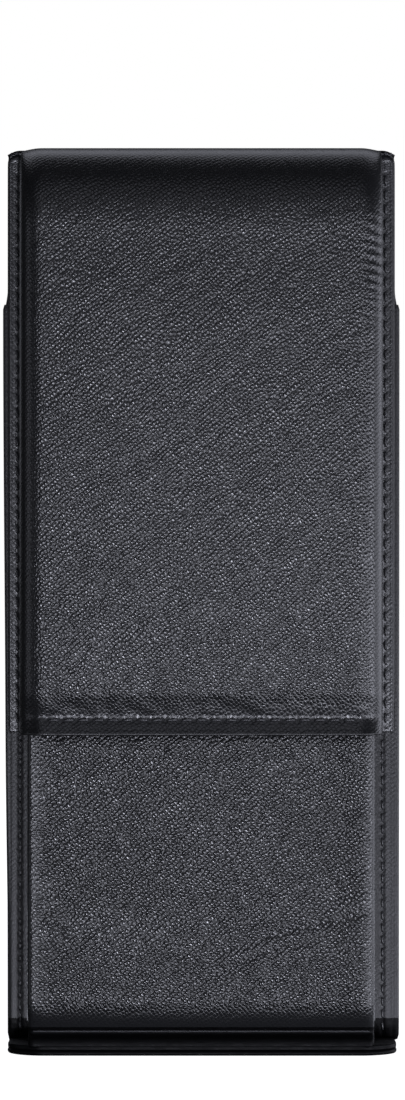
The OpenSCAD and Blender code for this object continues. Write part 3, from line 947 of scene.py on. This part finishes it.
def build_sole():
    """The two layers of the sole."""
    skins = [SOLE_SKIN, FOOT_SHADE_AND_EDGE_INK]
    outline = sole_outline(SOLE_LOW, SOLE_HIGH, 7.0, 0.05, -0.25)
    sole = outline_slab("sole_lower_leather", outline, SOLE_LOW[2], SOLE_HIGH[2], 0.4, skins)
    finished(sole, "case", ("sole",))
    outline = sole_outline(WELT_LOW, WELT_HIGH, 6.8, -0.3, -0.6)
    welt = outline_slab("sole_upper_leather", outline, WELT_LOW[2], WELT_HIGH[2], 0.2, skins)
    finished(welt, "case", ("sole_welt",))


def build_back_lining():
    """The cloth on the inside of the back, as wide as the room in the pocket below the mouth."""
    low, high = BACK_LINING_LOW, BACK_LINING_HIGH
    room = FRONT_LINING_HIGH[0] - LINING
    above, below = np.arange(high[2], MOUTH + 0.2, -1.0), np.arange(MOUTH - 1, low[2], -1.2)
    z = np.concatenate([above, [MOUTH + 0.1, MOUTH - 0.1], below, [low[2]]])
    half = np.where(z > MOUTH, high[0], room - 0.05)
    share = np.linspace(1, -1, 60)
    p = np.zeros((len(z), len(share), 3))
    p[:, :, 0] = half[:, None] * share[None]
    p[:, :, 2] = z[:, None]
    ripple = 0.05 * lattice_noise(p[:, :, 0], p[:, :, 2], 12, 17, 301)
    p[:, :, 1] = low[1] + 0.02 + np.abs(ripple)
    lining = thick_sheet("back_lining_cloth", p, LINING - 0.12, [CLOTH] * 3, bulge=0.3)
    finished(lining, "case", ("back_lining",))


def build_dividers():
    """Two leather leaves with scooped tops, slightly bowed between their glued edges."""
    for name, side in (("divider_left", -1), ("divider_right", 1)):
        low, high = node_box(name)
        thick = high[0] - low[0]
        y = np.linspace(low[1], high[1], 24)
        t = np.linspace(0, 1, 150)
        p = np.zeros((len(t), len(y), 3))
        scoop = 2.2 * np.sin(math.pi * (y - low[1]) / (high[1] - low[1]))[None]
        top = high[2] - scoop
        foot = low[2] + np.maximum(0, 1.5 * (1 - (y - low[1]) / 3))[None]
        p[:, :, 2] = top - t[:, None] * (top - foot)
        p[:, :, 1] = y[None]
        free = np.sin(math.pi * (y - low[1]) / (high[1] - low[1]))[None] * (1 - t[:, None] * 0.7)
        uneven = lattice_noise(p[:, :, 1] * 3, p[:, :, 2], 14, 19, 310 + side)
        p[:, :, 0] = low[0] + 0.02 + free * (0.12 + 0.1 * uneven)
        leaf = thick_sheet(name + "_leather", p, thick - 0.1, [DIVIDER_SKIN, DIVIDER_SKIN, EDGE], bulge=0.4)
        finished(leaf, "case", (name,))


def build_discs():
    """The flap's magnets and the steel discs that they close on."""
    for name, body in (("flap_magnets", "flap"), ("keeper_discs", "case")):
        low, high = node_box(name)
        radius = (high[2] - low[2]) / 2
        middle = (low[2] + high[2]) / 2
        centres = [(low[0] + radius, middle), (high[0] - radius, middle)]
        pair = discs(name + "_turned", centres, radius, low[1], high[1], STEEL)
        finished(pair, body, (name,))


def finish_cad_nodes():
    """Finishes for the boards and linings that keep their CAD form."""
    for name, material in (
        ("back_board", BOARD), ("front_board", BOARD), ("base_board", BOARD), ("flap_board", BOARD),
        ("front_lining", CLOTH), ("base_lining", CLOTH),
    ):
        node = bpy.data.objects[name]
        node.data.materials.clear()
        node.data.materials.append(material)


def seam_row(name, grid, normals, side, x, first, pitch, z_low, z_high, keep, body, node):
    """A vertical row of stitches on the column of the grid nearest x."""
    picked = np.abs(grid[:, :, 0] - side * x) + 1000 * ~keep
    rows = np.where(picked.min(axis=1) < 0.6)[0]
    columns = picked[rows].argmin(axis=1)
    path, up = grid[rows, columns], normals[rows, columns]
    path[:, 0] = side * x
    count = int((z_high - first) / pitch)
    middles = [first + i * pitch for i in range(count + 1) if first + i * pitch > z_low]
    row = stitches(name, path, up, path[:, 2], middles, pitch, THREAD, radius=0.19)
    finished(row, body, (node,) if node else ())


def build_threads(shell, back_rows, pocket):
    """Stitch rows of the flap, of the pocket's flanges, of the back and of the hem."""
    normals, pocket_normals = grid_normals(shell), grid_normals(pocket)
    row_number = np.arange(len(shell))[:, None] + 0 * shell[:, :, 0]
    y, z = shell[:, :, 1], shell[:, :, 2]
    margin = (row_number > back_rows + FOLD_ROWS + 4) & (y > MARGIN_Y - 0.5) & (z < TOP - 2)
    rear = (row_number < back_rows) & (y > BACK - 1)
    flange = pocket[:, :, 1] > FLANGE_Y - 0.6
    for side, word in ((-1, "left"), (1, "right")):
        seam_row(
            "flap_stitches_" + word, shell, normals, side, FLAP_SEAM_X, FLAP_SEAM_FROM, FLAP_PITCH,
            HEM_SEAM_Z - 1.5, TOP - 4, margin, "flap", "flap_thread_" + word,
        )
        seam_row(
            "seam_stitches_" + word, pocket, pocket_normals, side, SEAM_X, SEAM_FROM, SEAM_PITCH,
            3.0, MOUTH - 1.6, flange, "case", "seam_thread_" + word,
        )
        seam_row(
            "back_stitches_" + word, shell, normals, side, SEAM_X, SEAM_FROM, SEAM_PITCH,
            3.0, MOUTH - 1.6, rear, "case", None,
        )
    off_flap = row_number[:, 0] <= back_rows + FOLD_ROWS + 4
    hem = int(np.argmin(np.abs(z[:, z.shape[1] // 2] - HEM_SEAM_Z) + 1000 * off_flap))
    columns = (np.abs(shell[hem, :, 0]) < 31) & (y[hem] < MARGIN_Y - 8)
    path, up = shell[hem, columns], normals[hem, columns]
    middles = np.arange(-10, 11) * FLAP_PITCH
    row = stitches("flap_stitches_hem", path, up, path[:, 0], middles, FLAP_PITCH, THREAD)
    finished(row, "flap", ("flap_thread_hem",))


# ---------------------------------------------------------------- stage
# the lamps turn towards this point
AIM = Vector((0, 0, 0.08))


# name, azimuth and elevation in degrees, distance and size in metres, radiance
LAMPS = (
    ("front", 0, -14.2, 1.3, (0.46, 0.15), 38.0),
    ("ahead", -3, 1, 3.0, (1.6, 0.9), 1.0),
    ("front_right", 32, -17, 1.0, (0.32, 0.24), 18.0),
    ("right", 70, -12, 0.9, (0.45, 0.4), 8.0),
    ("right_back", 118, -4, 1.0, (0.9, 0.5), 1.6),
    ("high", 0, 36, 1.4, (0.9, 0.7), 0.75),
    ("left", -78, -4, 1.2, (0.6, 0.6), 0.9),
    ("top_back", 180, 54, 1.0, (1.2, 0.45), 1.0),
    ("behind", 180, 8, 1.2, (1.6, 0.3), 0.25),
)
LAMP_TINT = (0.95, 0.97, 1.11)


def area_light(name, azimuth, elevation, distance, size, radiance):
    """A soft panel around the object. Azimuth 0 is in front and grows to the right."""
    data = bpy.data.lights.new(name, "AREA")
    data.shape = "RECTANGLE"
    data.size, data.size_y = size
    data.energy = radiance * math.pi * size[0] * size[1]
    data.color = LAMP_TINT
    lamp = bpy.data.objects.new(name, data)
    bpy.context.scene.collection.objects.link(lamp)
    az, el = math.radians(azimuth), math.radians(elevation)
    away = Vector((math.sin(az) * math.cos(el), -math.cos(az) * math.cos(el), math.sin(el)))
    lamp.location = AIM + away * distance
    lamp.rotation_mode = "QUATERNION"
    lamp.rotation_quaternion = (-away).to_track_quat("-Z", "Y")
    lamp.visible_camera = False


def build_stage():
    """A white floor and background, and the lamps."""
    scene = bpy.context.scene
    g = Graph("pale_floor")
    g.colour(rgb(0.8, 0.8, 0.8))
    g.rough(0.9)
    g.shader.inputs["Emission Color"].default_value = rgb(1, 1, 1)
    g.shader.inputs["Emission Strength"].default_value = 1.0
    mesh = bpy.data.meshes.new("floor")
    far = 20.0
    mesh.from_pydata([(-far, -far, 0), (far, -far, 0), (far, far, 0), (-far, far, 0)], [], [(0, 1, 2, 3)])
    mesh.materials.append(g.material)
    floor = bpy.data.objects.new("floor", mesh)
    scene.collection.objects.link(floor)
    floor.visible_glossy = False
    floor.visible_diffuse = False
    floor.visible_shadow = False

    world = bpy.data.worlds.new("studio")
    scene.world = world
    world.use_nodes = True
    tree = world.node_tree
    tree.nodes.clear()
    out = tree.nodes.new("ShaderNodeOutputWorld")
    mix = tree.nodes.new("ShaderNodeMixShader")
    unseen, seen = (tree.nodes.new("ShaderNodeBackground") for _ in range(2))
    path = tree.nodes.new("ShaderNodeLightPath")
    seen.inputs[0].default_value = rgb(1, 1, 1)
    unseen.inputs[0].default_value = rgb(0.9, 0.95, 1)
    unseen.inputs[1].default_value = 0.02
    tree.links.new(path.outputs["Is Camera Ray"], mix.inputs[0])
    tree.links.new(unseen.outputs[0], mix.inputs[1])
    tree.links.new(seen.outputs[0], mix.inputs[2])
    tree.links.new(mix.outputs[0], out.inputs[0])
    scene.view_settings.view_transform = "Standard"

    for lamp in LAMPS:
        area_light(*lamp)


VIEW_TALL = 197.451  # height of what the camera sees at the pocket's flange
EYE_X, EYE_Z = 0.22, 81.0


def build_camera():
    """Level, straight from the front, with a long lens."""
    data = bpy.data.cameras.new("camera")
    camera = bpy.data.objects.new("camera", data)
    bpy.context.scene.collection.objects.link(camera)
    bpy.context.scene.camera = camera
    data.sensor_width, data.lens = 36, 150
    distance = VIEW_TALL * data.lens / data.sensor_width
    camera.location = (EYE_X * MM, (FLANGE_Y - distance) * MM, EYE_Z * MM)
    camera.rotation_euler = (math.radians(90), 0, 0)
    data.shift_y = 0.042636
    data.clip_start, data.clip_end = 0.05, 100


build_stage()
build_camera()
shell_base, shell_skin, rows_of_back, shell = build_shell()
lining = flap_layers(shell_base, shell_skin, rows_of_back)
pocket_skin = build_pocket()
build_turned_edges()
build_binding()
build_sole()
build_back_lining()
build_dividers()
build_discs()
finish_cad_nodes()
build_threads(shell_skin, rows_of_back, pocket_skin)
for crossing in (shell, lining):
    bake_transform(crossing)
